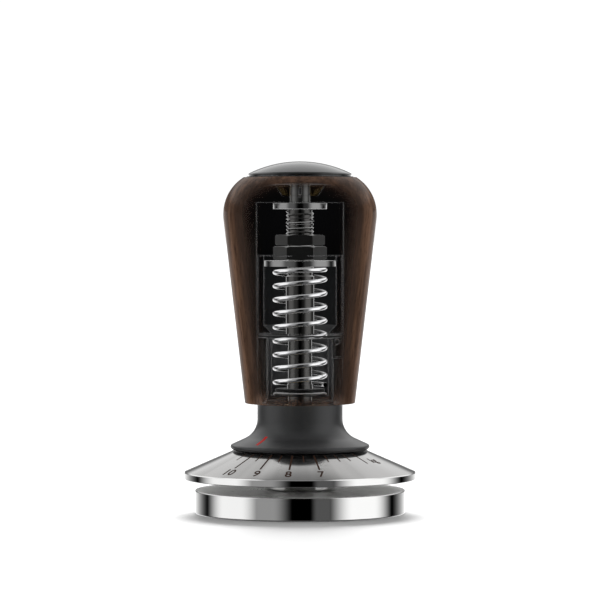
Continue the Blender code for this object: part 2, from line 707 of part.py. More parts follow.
def hex_nut(name, across_flats, thickness, z, body, surface):
    """A nut with a flat towards -Y."""
    corner = across_flats / math.sqrt(3)
    points = [(corner * math.cos(i * math.pi / 3), corner * math.sin(i * math.pi / 3)) for i in range(6)]
    nut = finish_mesh(prism_mesh(points, 0, thickness), name, surface, body, z)
    bore = spun([(0, -GAP), (nut_bore, -GAP), (nut_bore, thickness + GAP), (0, thickness + GAP)], FINE)
    combine(nut, "DIFFERENCE", bore, "bore")


def preload_nuts(body, black, steel):
    plate_radius = cup_bore - GAP
    outline = ring_outline(nut_bore, plate_radius, PLATE_THICKNESS)
    plate = turned("spring_plate", outline, z_plate, body, steel)
    half = KEYWAY_WIDTH / 2 - GAP
    for side, label in ((-1, "front_lug"), (1, "back_lug")):
        near, far = sorted((side * (plate_radius - 4 * GAP), side * (BARREL_RADIUS - GAP)))
        combine(plate, "UNION", box_mesh((-half, near, 0), (half, far, PLATE_THICKNESS)), label)
    hex_nut("adjusting_nut", NUT_ACROSS_FLATS, NUT_THICKNESS, z_nut, body, black)
    hex_nut("lock_nut", LOCK_NUT_ACROSS_FLATS, LOCK_NUT_THICKNESS, z_lock_nut, body, black)


def build():
    clear_scene()
    polished = material("polished_steel", (0.62, 0.62, 0.62), 0.12, 1.0)
    satin = material("satin_steel", (0.6, 0.59, 0.57), 0.3, 1.0)
    spring_steel = material("spring_steel", (0.75, 0.75, 0.76), 0.2, 1.0)
    black_oxide = material("black_oxide", (0.03, 0.03, 0.03), 0.35, 0.8)
    dark_anodised = material("dark_anodised", (0.05, 0.05, 0.055), 0.4, 0.6)
    black_plastic = material("black_plastic", (0.02, 0.02, 0.02), 0.5, 0.0)
    gloss_black = material("gloss_black", (0.01, 0.01, 0.01), 0.08, 0.0)
    brass = material("brass", (0.7, 0.5, 0.2), 0.3, 1.0)
    walnut = material("dark_walnut", (0.09, 0.045, 0.025), 0.5, 0.0)

    base = body_empty("base_frame")
    dial = body_empty("dial_frame", base)
    handle = body_empty("handle_frame", dial)
    nuts = body_empty("preload_nuts_frame", dial)

    tamping_base(base, polished)
    piston_stem(base, polished)
    spring_cup(base, dark_anodised)
    base_small_parts(base, spring_steel, black_plastic, brass)
    compression_spring(base, spring_steel)

    dial_skirt(dial, satin)
    dial_rings(dial, black_plastic, spring_steel)

    collar(handle, dark_anodised)
    detent(handle, spring_steel)
    wooden_handle(handle, walnut)
    cap(handle, gloss_black, dark_anodised, black_oxide, brass)
    rod_and_washers(handle, black_oxide, spring_steel, black_plastic)

    preload_nuts(nuts, black_oxide, dark_anodised)


build()
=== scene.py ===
import math

import bpy
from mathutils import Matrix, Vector


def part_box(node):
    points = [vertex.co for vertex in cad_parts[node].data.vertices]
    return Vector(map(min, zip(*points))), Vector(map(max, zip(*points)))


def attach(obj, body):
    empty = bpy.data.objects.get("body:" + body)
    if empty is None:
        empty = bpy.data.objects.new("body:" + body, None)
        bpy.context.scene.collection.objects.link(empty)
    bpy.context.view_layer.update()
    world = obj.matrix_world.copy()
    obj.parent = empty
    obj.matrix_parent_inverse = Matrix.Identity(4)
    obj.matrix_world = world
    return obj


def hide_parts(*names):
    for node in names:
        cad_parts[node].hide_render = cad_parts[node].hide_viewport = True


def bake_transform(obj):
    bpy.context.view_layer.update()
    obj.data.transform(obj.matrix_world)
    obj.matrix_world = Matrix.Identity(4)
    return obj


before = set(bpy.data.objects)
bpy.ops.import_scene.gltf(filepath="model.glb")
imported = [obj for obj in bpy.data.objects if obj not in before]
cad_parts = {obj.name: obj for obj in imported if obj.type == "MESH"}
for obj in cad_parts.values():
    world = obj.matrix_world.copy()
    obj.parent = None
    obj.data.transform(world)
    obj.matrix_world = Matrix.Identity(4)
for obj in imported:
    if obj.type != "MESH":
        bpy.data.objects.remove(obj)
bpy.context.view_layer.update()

MM = 0.001

# ---------------------------------------------------------------- places, from the frame


def low(node):
    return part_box(node)[0].z


def high(node):
    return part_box(node)[1].z


def radius(node):
    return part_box(node)[1].x


BASE_R = radius("tamping_base")
BASE_TOP = high("tamping_base")
SKIRT_R = radius("dial_skirt")
SKIRT_LOW = low("dial_skirt")
HUB_TOP = high("dial_skirt")
LIP_R = radius("collar")
COLLAR_LOW = low("collar")
NECK_TOP = high("collar")
BELLY_R = radius("wooden_handle")
HANDLE_LOW = low("wooden_handle")
HANDLE_TOP = high("wooden_handle")
DOME_R = radius("cap_dome")
DOME_LOW = low("cap_dome")
DOME_TOP = high("cap_dome")
DISC_R = radius("cap_disc")
DISC_LOW = low("cap_disc")
DISC_TOP = high("cap_disc")
CUP_LOW = low("spring_cup")
CUP_TOP = high("spring_cup")
BARREL_R = radius("slip_washer")
ROD_LOW = low("threaded_rod")
ROD_TOP = high("threaded_rod")
ROD_R = radius("threaded_rod")
FLANGE_LOW = low("flange_washer")

# Sizes of what the frame's boxes don't give
RIM_THICKNESS = 2.0 * MM
LAND_R = 18.85 * MM
CONE_RISE = 5.8 * MM
HUB_R = 11.9 * MM
KEYED_BORE_R = 10.1 * MM
NECK_BORE_R = 9.4 * MM
POCKET_R = 12.2 * MM
HANDLE_BORE_R = 12.25 * MM
HANDLE_END_R = 15.36 * MM
HANDLE_TOP_R = 15.67 * MM
SHOULDER_ROUND = 12.1 * MM
WOOD_WEB = 4.65 * MM
CONE_SLOPE = CONE_RISE / (SKIRT_R - LAND_R)
WIRE_THICKNESS = 1.2 * MM
COIL_R = radius("compression_spring") - WIRE_THICKNESS / 2
COIL_TURNS = 9
FLAT_TURNS = 0.5  # over which each end of the coil flattens
CLEARANCE = 0.3 * MM  # between pieces that slide, turn or screw together
CUP_SHOULDER = high("slip_washer") + CLEARANCE

SIDES = 144  # facets round the large turned pieces
INNER_SIDES = 96  # and round the ones inside the handle


# ---------------------------------------------------------------- modelling steps


def deselect():
    if bpy.context.mode != "OBJECT":
        bpy.ops.object.mode_set(mode="OBJECT")
    bpy.ops.object.select_all(action="DESELECT")


def hold(piece):
    """Selects one piece and nothing else."""
    deselect()
    piece.select_set(True)
    bpy.context.view_layer.objects.active = piece


def apply_modifier(piece, kind, **settings):
    hold(piece)
    modifier = piece.modifiers.new(kind.lower(), kind)
    for name, value in settings.items():
        setattr(modifier, name, value)
    bpy.ops.object.modifier_apply(modifier=modifier.name)


def settle(piece):
    """Puts the piece's place into its mesh, leaving its object at the origin."""
    hold(piece)
    bpy.ops.object.transform_apply(location=True, rotation=True, scale=True)


def smooth(piece, degrees=32):
    hold(piece)
    bpy.ops.object.shade_smooth_by_angle(angle=math.radians(degrees))


def soften(piece, width, segments=3, degrees=30):
    """Breaks the sharp edges of a piece with a small round."""
    apply_modifier(
        piece, "BEVEL", width=width, segments=segments, limit_method="ANGLE", angle_limit=math.radians(degrees)
    )


def turn(name, outline, sides=INNER_SIDES, edge=0.0):
    """Turns an outline of (radius, height) points as on a lathe. One that ends off the axis makes a ring."""
    solid = outline[-1][0] == 0
    deselect()
    bpy.ops.mesh.primitive_circle_add(
        vertices=sides, radius=outline[0][0], fill_type="NGON" if solid else "NOTHING"
    )
    piece = bpy.context.active_object
    piece.name = name
    bpy.ops.object.mode_set(mode="EDIT")
    bpy.ops.mesh.select_mode(type="VERT")
    bpy.ops.mesh.select_all(action="SELECT")
    bpy.ops.transform.translate(value=(0, 0, outline[0][1]))
    for (last_r, last_z), (r, z) in zip(outline, outline[1:]):
        bpy.ops.mesh.extrude_region_move(TRANSFORM_OT_translate={"value": (0, 0, z - last_z)})
        if r == 0:
            bpy.ops.mesh.merge(type="CENTER")
        elif not math.isclose(r, last_r):
            bpy.ops.transform.resize(value=(r / last_r, r / last_r, 1))
    if not solid:
        bpy.ops.mesh.select_all(action="DESELECT")
        bpy.ops.mesh.select_non_manifold()
        bpy.ops.mesh.bridge_edge_loops()
    bpy.ops.mesh.select_all(action="SELECT")
    bpy.ops.mesh.normals_make_consistent(inside=False)
    bpy.ops.object.mode_set(mode="OBJECT")
    if edge:
        soften(piece, edge)
    smooth(piece)
    return piece


def arc(centre, size, start, end, steps):
    """Points on an arc in the (radius, height) plane, with angles in degrees."""
    points = []
    for i in range(steps + 1):
        angle = math.radians(start + (end - start) * i / steps)
        points.append((centre[0] + size * math.cos(angle), centre[1] + size * math.sin(angle)))
    return points


def ring(inner, outer, bottom, top):
    return [(inner, bottom), (outer, bottom), (outer, top), (inner, top)]


def cut(piece, tool, operation="DIFFERENCE"):
    apply_modifier(piece, "BOOLEAN", operation=operation, object=tool, solver="EXACT")
    bpy.data.objects.remove(tool)


def block(name, lowest, highest):
    """A block between two corners, with its place in its mesh."""
    lowest, highest = Vector(lowest), Vector(highest)
    deselect()
    bpy.ops.mesh.primitive_cube_add(size=1, location=(lowest + highest) / 2, scale=highest - lowest)
    piece = bpy.context.active_object
    piece.name = name
    settle(piece)
    return piece


def wound(name, points, wire, resolution):
    """A wire wound along the points, as a mesh."""
    curve = bpy.data.curves.new(name, "CURVE")
    curve.dimensions = "3D"
    curve.bevel_depth = wire / 2
    curve.bevel_resolution = resolution
    curve.use_fill_caps = True
    spline = curve.splines.new("POLY")
    spline.points.add(len(points) - 1)
    for place, point in zip(spline.points, points):
        place.co = (*point, 1)
    piece = bpy.data.objects.new(name, curve)
    bpy.context.scene.collection.objects.link(piece)
    hold(piece)
    bpy.ops.object.convert(target="MESH")
    return bpy.context.active_object


def only_for_the_eye(*pieces):
    """Keeps see-through pieces out of reflections and shadows, as clear glass would be."""
    for piece in pieces:
        piece.visible_diffuse = False
        piece.visible_glossy = False
        piece.visible_transmission = False
        piece.visible_shadow = False


def fit(piece, body, node, finish_used):
    """The piece rides on a body, stands for a CAD node and takes its finish."""
    piece.data.materials.clear()
    piece.data.materials.append(finish_used)
    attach(piece, body)
    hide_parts(node)
    return piece


# ---------------------------------------------------------------- finishes


class Bench:
    """The node tree of one finish, with short ways to add to it."""

    def __init__(self, tree):
        self.tree = tree

    def add(self, kind, **settings):
        node = self.tree.nodes.new(kind)
        for name, value in settings.items():
            setattr(node, name, value)
        return node

    def join(self, source, target):
        self.tree.links.new(source, target)

    def feed(self, target, value):
        if isinstance(value, bpy.types.NodeSocket):
            self.join(value, target)
        elif value is not None:
            target.default_value = value

    def maths(self, operation, *values):
        node = self.add("ShaderNodeMath", operation=operation)
        for socket, value in zip(node.inputs, values):
            self.feed(socket, value)
        return node.outputs[0]

    def fade(self, value, start, end, low_out=0.0, high_out=1.0):
        """A smooth step of the value between start and end."""
        node = self.add("ShaderNodeMapRange", interpolation_type="SMOOTHSTEP")
        for socket, item in zip(node.inputs, (value, start, end, low_out, high_out)):
            self.feed(socket, item)
        return node.outputs[0]

    def blend(self, share, first, second):
        node = self.add("ShaderNodeMix", data_type="RGBA")
        for socket, item in zip((node.inputs[0], node.inputs[6], node.inputs[7]), (share, first, second)):
            self.feed(socket, item)
        return node.outputs[2]

    def noise(self, place, scale, detail=2.0, rough=0.5):
        node = self.add("ShaderNodeTexNoise")
        self.feed(node.inputs["Vector"], place)
        node.inputs["Scale"].default_value = scale
        node.inputs["Detail"].default_value = detail
        node.inputs["Roughness"].default_value = rough
        return node.outputs["Fac"]

    def stretched(self, scale):
        """Object coordinates with each axis scaled."""
        place = self.add("ShaderNodeTexCoord")
        node = self.add("ShaderNodeMapping")
        self.join(place.outputs["Object"], node.inputs["Vector"])
        node.inputs["Scale"].default_value = scale
        return node.outputs["Vector"]

    def height(self):
        """How high a point lies on the tamper, in metres."""
        place = self.add("ShaderNodeTexCoord")
        split = self.add("ShaderNodeSeparateXYZ")
        self.join(place.outputs["Object"], split.inputs[0])
        return split.outputs["Z"]


def group(name, inputs, outputs):
    tree = bpy.data.node_groups.new(name, "ShaderNodeTree")
    for label, kind, value in inputs:
        socket = tree.interface.new_socket(label, in_out="INPUT", socket_type=kind)
        socket.default_value = value
    for label, kind in outputs:
        tree.interface.new_socket(label, in_out="OUTPUT", socket_type=kind)
    bench = Bench(tree)
    return tree, bench, bench.add("NodeGroupInput"), bench.add("NodeGroupOutput")


def lathe_lines():
    """Fine rings that a lathe tool leaves: they change with the distance from the axis and with height."""
    tree, bench, given, made = group(
        "lathe_lines",
        [
            ("Fineness", "NodeSocketFloat", 2600.0),
            ("Roughness", "NodeSocketFloat", 0.2),
            ("Depth", "NodeSocketFloat", 0.1),
        ],
        [("Height", "NodeSocketFloat"), ("Roughness", "NodeSocketFloat")],
    )
    place = bench.add("ShaderNodeTexCoord")
    split = bench.add("ShaderNodeSeparateXYZ")
    bench.join(place.outputs["Object"], split.inputs[0])
    x, y, z = split.outputs
    distance = bench.maths("SQRT", bench.maths("ADD", bench.maths("MULTIPLY", x, x), bench.maths("MULTIPLY", y, y)))
    line = bench.add("ShaderNodeCombineXYZ")
    bench.join(distance, line.inputs[0])
    bench.join(z, line.inputs[1])
    fine = bench.add("ShaderNodeTexNoise")
    bench.join(line.outputs[0], fine.inputs["Vector"])
    bench.join(given.outputs["Fineness"], fine.inputs["Scale"])
    fine.inputs["Detail"].default_value = 3.0
    smear = bench.noise(place.outputs["Object"], 90.0, 3.0)
    bench.join(bench.maths("MULTIPLY", fine.outputs["Fac"], given.outputs["Depth"]), made.inputs["Height"])
    streak = bench.maths("MULTIPLY_ADD", fine.outputs["Fac"], 0.5, bench.maths("MULTIPLY", smear, 0.5))
    varied = bench.maths("MULTIPLY", given.outputs["Roughness"], bench.maths("ADD", streak, 0.5))
    bench.join(varied, made.inputs["Roughness"])
    return tree


def speckle():
    """The fine grain of a blasted, moulded or blackened surface."""
    tree, bench, given, made = group(
        "speckle",
        [
            ("Colour", "NodeSocketColor", (0.05, 0.05, 0.05, 1)),
            ("Variation", "NodeSocketFloat", 0.15),
            ("Roughness", "NodeSocketFloat", 0.4),
            ("Grain", "NodeSocketFloat", 1500.0),
        ],
        [("Colour", "NodeSocketColor"), ("Roughness", "NodeSocketFloat"), ("Height", "NodeSocketFloat")],
    )
    place = bench.add("ShaderNodeTexCoord")
    fine = bench.add("ShaderNodeTexNoise")
    bench.join(place.outputs["Object"], fine.inputs["Vector"])
    bench.join(given.outputs["Grain"], fine.inputs["Scale"])
    fine.inputs["Detail"].default_value = 4.0
    patch = bench.noise(place.outputs["Object"], 120.0, 3.0)
    both = bench.maths("ADD", fine.outputs["Fac"], patch)
    swing = bench.maths("MULTIPLY", bench.maths("SUBTRACT", both, 1.0), given.outputs["Variation"])
    scale = bench.add("ShaderNodeVectorMath", operation="SCALE")
    bench.join(given.outputs["Colour"], scale.inputs[0])
    bench.join(bench.maths("ADD", swing, 1.0), scale.inputs["Scale"])
    bench.join(scale.outputs[0], made.inputs["Colour"])
    bench.join(bench.maths("MULTIPLY_ADD", swing, 0.5, given.outputs["Roughness"]), made.inputs["Roughness"])
    bench.join(fine.outputs["Fac"], made.inputs["Height"])
    return tree


def walnut_grain():
    """Straight dark grain along the handle, with fine pores."""
    tree, bench, given, made = group(
        "walnut_grain",
        [
            ("Early wood", "NodeSocketColor", (0.15, 0.083, 0.052, 1)),
            ("Late wood", "NodeSocketColor", (0.062, 0.034, 0.022, 1)),
        ],
        [("Colour", "NodeSocketColor"), ("Roughness", "NodeSocketFloat"), ("Height", "NodeSocketFloat")],
    )
    wander = bench.noise(bench.stretched((1, 1, 0.25)), 60.0, 3.0)
    place = bench.stretched((1, 1, 0.06))
    shifted = bench.add("ShaderNodeVectorMath", operation="ADD")
    bench.join(place, shifted.inputs[0])
    bench.join(bench.maths("MULTIPLY", wander, 0.004), shifted.inputs[1])
    bands = bench.noise(shifted.outputs[0], 420.0, 4.0, 0.6)
    broad = bench.noise(bench.stretched((1, 1, 0.12)), 110.0, 2.0)
    pores = bench.noise(bench.stretched((1, 1, 0.035)), 2600.0, 2.0, 0.7)
    mixed = bench.maths("MULTIPLY_ADD", bands, 0.65, bench.maths("MULTIPLY", broad, 0.35))
    share = bench.fade(mixed, 0.36, 0.62)
    colour = bench.blend(share, given.outputs["Early wood"], given.outputs["Late wood"])
    pore = bench.fade(pores, 0.56, 0.68)
    dark = bench.blend(bench.maths("MULTIPLY", pore, 0.7), colour, (0.012, 0.008, 0.006, 1))
    bench.join(dark, made.inputs["Colour"])
    rough = bench.maths("MULTIPLY_ADD", share, -0.08, bench.maths("MULTIPLY_ADD", pore, 0.25, 0.42))
    bench.join(rough, made.inputs["Roughness"])
    ridge = bench.maths("MULTIPLY_ADD", pore, -1.0, bench.maths("MULTIPLY", share, 0.25))
    bench.join(ridge, made.inputs["Height"])
    return tree


def from_axis(bench):
    """The distance from the tamper's axis, and which way that is."""
    place = bench.add("ShaderNodeTexCoord")
    flat = bench.add("ShaderNodeVectorMath", operation="MULTIPLY")
    bench.join(place.outputs["Object"], flat.inputs[0])
    flat.inputs[1].default_value = (1, 1, 0)
    size = bench.add("ShaderNodeVectorMath", operation="LENGTH")
    way = bench.add("ShaderNodeVectorMath", operation="NORMALIZE")
    bench.join(flat.outputs[0], size.inputs[0])
    bench.join(flat.outputs[0], way.inputs[0])
    return size.outputs["Value"], way.outputs[0]


def axis_share():
    """0 nearer the axis than one radius, 1 beyond another."""
    tree, bench, given, made = group(
        "axis_share",
        [("Inner", "NodeSocketFloat", 0.007), ("Outer", "NodeSocketFloat", 0.008)],
        [("Share", "NodeSocketFloat")],
    )
    distance, _ = from_axis(bench)
    node = bench.add("ShaderNodeMapRange", interpolation_type="SMOOTHSTEP")
    bench.join(distance, node.inputs["Value"])
    bench.join(given.outputs["Inner"], node.inputs["From Min"])
    bench.join(given.outputs["Outer"], node.inputs["From Max"])
    bench.join(node.outputs["Result"], made.inputs["Share"])
    return tree


def sectors():
    """Soft streaks that run out from the axis."""
    tree, bench, given, made = group(
        "sectors",
        [("Dark", "NodeSocketColor", (0.4, 0.4, 0.4, 1)), ("Light", "NodeSocketColor", (0.6, 0.6, 0.6, 1))],
        [("Colour", "NodeSocketColor")],
    )
    _, way = from_axis(bench)
    broad = bench.noise(way, 3.5, 2.0, 0.5)
    streak = bench.blend(bench.fade(broad, 0.35, 0.65), given.outputs["Dark"], given.outputs["Light"])
    bench.join(streak, made.inputs["Colour"])
    return tree


LATHE_LINES = lathe_lines()
AXIS_SHARE = axis_share()
SECTORS = sectors()
SPECKLE = speckle()
WALNUT_GRAIN = walnut_grain()


def finish(name, metallic=0.0, coat=0.0, gloss=0.5):
    """A new material with its bench and its Principled shader."""
    made = bpy.data.materials.new(name)
    made.use_nodes = True
    shader = made.node_tree.nodes["Principled BSDF"]
    shader.inputs["Metallic"].default_value = metallic
    shader.inputs["Coat Weight"].default_value = coat
    shader.inputs["Specular IOR Level"].default_value = gloss
    return made, Bench(made.node_tree), shader


def use_group(bench, tree, **values):
    node = bench.add("ShaderNodeGroup")
    node.node_tree = tree
    for name, value in values.items():
        node.inputs[name.replace("_", " ")].default_value = value
    return node


def bump(bench, shader, height, strength, distance=0.00002):
    node = bench.add("ShaderNodeBump")
    node.inputs["Strength"].default_value = strength
    node.inputs["Distance"].default_value = distance
    bench.join(height, node.inputs["Height"])
    bench.join(node.outputs[0], shader.inputs["Normal"])


def steel(name, colour, rough, depth, fineness=2600.0, strength=0.1, metallic=1.0):
    made, bench, shader = finish(name, metallic)
    lines = use_group(bench, LATHE_LINES, Fineness=fineness, Roughness=rough, Depth=depth)
    shader.inputs["Base Color"].default_value = (*colour, 1)
    bench.join(lines.outputs["Roughness"], shader.inputs["Roughness"])
    bump(bench, shader, lines.outputs["Height"], strength)
    return made


def brushed(name, dark, light, rough, fineness, strength):
    """Turned steel whose brightness drifts round the axis in soft streaks."""
    made, bench, shader = finish(name, metallic=1.0)
    lines = use_group(bench, LATHE_LINES, Fineness=fineness, Roughness=rough, Depth=0.4)
    streaks = use_group(bench, SECTORS, Dark=(*dark, 1), Light=(*light, 1))
    bench.join(streaks.outputs["Colour"], shader.inputs["Base Color"])
    bench.join(lines.outputs["Roughness"], shader.inputs["Roughness"])
    bump(bench, shader, lines.outputs["Height"], strength)
    return made


def wire_steel(name, bright, dark, inner, outer, rough):
    """Bright wire with painted shade on its inner side, towards the axis."""
    made, bench, shader = finish(name, metallic=1.0)
    span = use_group(bench, AXIS_SHARE, Inner=inner, Outer=outer)
    shade = bench.blend(span.outputs["Share"], (*dark, 1), (*bright, 1))
    bench.join(shade, shader.inputs["Base Color"])
    shader.inputs["Roughness"].default_value = rough
    return made


def grained(name, colour, rough, metallic, variation=0.15, strength=0.15, grain=1500.0, coat=0.0, gloss=0.5):
    made, bench, shader = finish(name, metallic, coat, gloss)
    grains = use_group(bench, SPECKLE, Colour=(*colour, 1), Variation=variation, Roughness=rough, Grain=grain)
    bench.join(grains.outputs["Colour"], shader.inputs["Base Color"])
    bench.join(grains.outputs["Roughness"], shader.inputs["Roughness"])
    bump(bench, shader, grains.outputs["Height"], strength)
    return made, bench, shader


def facing_away(bench):
    """0 where a surface faces the eye squarely, rising to 1 where it is seen edge on."""
    node = bench.add("ShaderNodeLayerWeight")
    node.inputs["Blend"].default_value = 0.5
    return node.outputs["Facing"]


def seen_directly(bench):
    return bench.add("ShaderNodeLightPath").outputs["Is Camera Ray"]


def back_side(bench):
    return bench.add("ShaderNodeNewGeometry").outputs["Backfacing"]


def choose(bench, switch, off, on):
    """off + switch * (on - off)"""
    if isinstance(on, float) and isinstance(off, float):
        return bench.maths("MULTIPLY_ADD", switch, on - off, off)
    return bench.maths("MULTIPLY_ADD", switch, bench.maths("SUBTRACT", on, off), off)


LINE_BLUR = 0.04 * MM


def painted_highlight_band(bench, lowest, highest, share=0.35):
    """A thin painted highlight line between two heights."""
    above = bench.fade(bench.height(), lowest - LINE_BLUR, lowest + LINE_BLUR)
    below = bench.fade(bench.height(), highest - LINE_BLUR, highest + LINE_BLUR, share, 0.0)
    return bench.maths("MULTIPLY", above, below)


POLISHED = steel("polished_steel", (0.66, 0.66, 0.655), 0.03, 0.04)
SATIN = brushed("satin_steel", (0.25, 0.247, 0.242), (0.33, 0.327, 0.322), 0.1, 3200.0, 0.08)
TURNED_TOP = steel("turned_steel", (0.85, 0.85, 0.84), 0.3, 0.3, metallic=0.2)
DULL_STEEL = steel("dull_steel", (0.75, 0.75, 0.74), 0.5, 0.3, metallic=0.4)
# painted shade: the coil's inner side, towards the axis, is nearly black
WIRE = wire_steel(
    "spring_wire", (0.7, 0.7, 0.71), (0.035, 0.035, 0.035), COIL_R - 0.05 * MM, COIL_R + 0.45 * MM, 0.12
)
DARK_STEEL = steel("dark_steel", (0.2, 0.2, 0.2), 0.16, 0.2)
SEAT_STEEL = steel("seat_steel", (0.05, 0.05, 0.05), 0.35, 0.3)
BRASS = steel("turned_brass", (0.42, 0.3, 0.1), 0.35, 0.3)
BLACKENED, _, _ = grained("blackened_rod", (0.065, 0.064, 0.062), 0.22, 1.0, 0.08, 0.03)
BLACK_OXIDE, _, _ = grained("black_oxide", (0.1, 0.1, 0.098), 0.36, 1.0, 0.1, 0.04)
DARK_PLATE, _, _ = grained("dark_plate", (0.012, 0.012, 0.012), 0.5, 0.0, gloss=0.15)
BLACK_PLASTIC, _, _ = grained("black_plastic", (0.008, 0.008, 0.008), 0.6, 0.0, gloss=0.1)
GLOSS_BLACK, _, _ = grained("gloss_black", (0.006, 0.006, 0.006), 0.08, 0.0, 0.1, 0.02, 300.0)


def glassy(name, line, start=0.66, highlight_levels=(), far_wall_shade=None):
    """A shell that shows its outlines and some painted highlight lines. A far wall of painted shade, dark and
    solid, closes the view behind the works.
    """
    surface, bench, shader = finish(name, gloss=0.0)
    grains = use_group(bench, SPECKLE, Colour=(*line, 1), Variation=0.1, Roughness=0.6, Grain=1500.0)
    colour = grains.outputs["Colour"]
    alpha = bench.fade(facing_away(bench), start, min(1.0, start + 0.28), 0.0, 0.7)
    # painted highlight lines: the shell shows its line colour in a thin band at each given height
    for level in highlight_levels:
        alpha = bench.maths("MAXIMUM", alpha, painted_highlight_band(bench, level - 0.25 * MM, level))
    # painted shade: back faces become an opaque dark far wall that stands for the shade inside the shell
    if far_wall_shade:
        behind = back_side(bench)
        colour = bench.blend(behind, (*far_wall_shade, 1), colour)
        alpha = choose(bench, behind, 1.0, alpha)
    bench.join(colour, shader.inputs["Base Color"])
    bench.join(grains.outputs["Roughness"], shader.inputs["Roughness"])
    bench.join(bench.maths("MULTIPLY", alpha, seen_directly(bench)), shader.inputs["Alpha"])
    return surface


# heights of the painted highlight lines at the cup's top and shoulder
CUP_HIGHLIGHT_LEVELS = (CUP_TOP - 0.1 * MM, CUP_SHOULDER + 0.4 * MM)
CUP_OUTSIDE = glassy("cup_outside", (0.09, 0.09, 0.092), highlight_levels=CUP_HIGHLIGHT_LEVELS)
# the cup's far inner wall is painted shade
CUP_BORE = glassy("cup_bore", (0.09, 0.09, 0.092), highlight_levels=CUP_HIGHLIGHT_LEVELS, far_wall_shade=(0.02, 0.021, 0.022))
FOOT_OUTSIDE = glassy("cup_foot_outside", (0.1, 0.1, 0.1))
# the far inner wall of the cup's foot is painted shade
FOOT_BORE = glassy("cup_foot_bore", (0.1, 0.1, 0.1), far_wall_shade=(0.075, 0.076, 0.078))
BRASS_GLASSY = glassy("brass_outside", (0.035, 0.024, 0.009), 0.3)
SLEEVE_GLASSY = glassy("sleeve_outside", (0.09, 0.09, 0.09), 0.8)


def collar_finish():
    """Dark satin outside, and glassy where the neck stands inside the handle."""
    made, bench, shader = grained("dark_anodised", (0.036, 0.0365, 0.0375), 0.36, 0.25, gloss=0.35)
    inside = bench.fade(bench.height(), HANDLE_LOW - 0.2 * MM, HANDLE_LOW + 0.6 * MM)
    outline = bench.fade(facing_away(bench), 0.72, 1.0, 0.0, 0.6)
    solid = choose(bench, inside, 0.97, outline)
    outside_ray = bench.maths("SUBTRACT", 1.0, inside)
    alpha = choose(bench, seen_directly(bench), outside_ray, solid)
    bench.join(alpha, shader.inputs["Alpha"])
    return made


def wood_outside():
    """Walnut that turns see-through and darkens to painted shade where it faces the eye, with brown left at both
    ends. Its far inside wall is painted shade that deepens towards the top.
    """
    made, bench, shader = finish("dark_walnut", gloss=0.0)
    grain = use_group(bench, WALNUT_GRAIN)
    behind = back_side(bench)
    height = bench.height()
    # painted shade on the far inside wall, darker towards the top of the handle
    depth = bench.fade(height, 66 * MM, 84 * MM)
    painted_hollow_shade = bench.blend(depth, (0.014, 0.0135, 0.013, 1), (0.003, 0.003, 0.003, 1))
    foot = bench.fade(height, HANDLE_LOW, HANDLE_LOW + 5 * MM, 1.0, 0.0)
    crown = bench.fade(height, HANDLE_TOP - 4 * MM, HANDLE_TOP)
    ends = bench.maths("MAXIMUM", foot, crown)
    brown = bench.maths("MAXIMUM", bench.fade(facing_away(bench), 0.2, 0.74), ends)
    # painted shade: near black where the wood faces the eye, grain colour where it is seen edge on and at the ends
    front = bench.blend(brown, (0.014, 0.009, 0.007, 1), grain.outputs["Colour"])
    bench.join(bench.blend(behind, front, painted_hollow_shade), shader.inputs["Base Color"])
    bench.join(grain.outputs["Roughness"], shader.inputs["Roughness"])
    coat = bench.maths("MULTIPLY", brown, bench.maths("MULTIPLY_ADD", behind, -0.3, 0.3))
    bench.join(coat, shader.inputs["Coat Weight"])
    bump(bench, shader, grain.outputs["Height"], 0.35, 0.00005)
    side = bench.fade(facing_away(bench), 0.12, 0.38)
    shown = bench.maths("MAXIMUM", side, bench.maths("MULTIPLY", ends, 0.33))
    from_camera = choose(bench, behind, shown, 1.0)
    bench.join(bench.maths("MULTIPLY", seen_directly(bench), from_camera), shader.inputs["Alpha"])
    return made


def wood_inside():
    """The bore: a dark wall of painted shade behind the works, darker towards the top, and nothing in front of them
    but its outline and a painted highlight line at its top.
    """
    made, bench, shader = grained("bore_painted_shade", (0.09, 0.09, 0.09), 0.6, 0.0, gloss=0.0)
    behind = back_side(bench)
    line = shader.inputs["Base Color"].links[0].from_socket
    # painted shade: the wall behind the works darkens towards the top of the bore
    depth = bench.fade(bench.height(), 44 * MM, 54 * MM)
    wall = bench.blend(depth, (0.05, 0.048, 0.046, 1), (0.005, 0.005, 0.0055, 1))
    bench.join(bench.blend(behind, wall, line), shader.inputs["Base Color"])
    edge = bench.fade(facing_away(bench), 0.68, 0.9, 0.0, 0.6)
    # a painted highlight line runs round the top of the bore, just under its ceiling
    ceiling = DISC_LOW - CLEARANCE - WOOD_WEB
    alpha = choose(bench, behind, 1.0, bench.maths("MAXIMUM", edge, painted_highlight_band(bench, ceiling - 0.3 * MM, ceiling)))
    bench.join(bench.maths("MULTIPLY", alpha, seen_directly(bench)), shader.inputs["Alpha"])
    return made


# ---------------------------------------------------------------- base, stem and cup


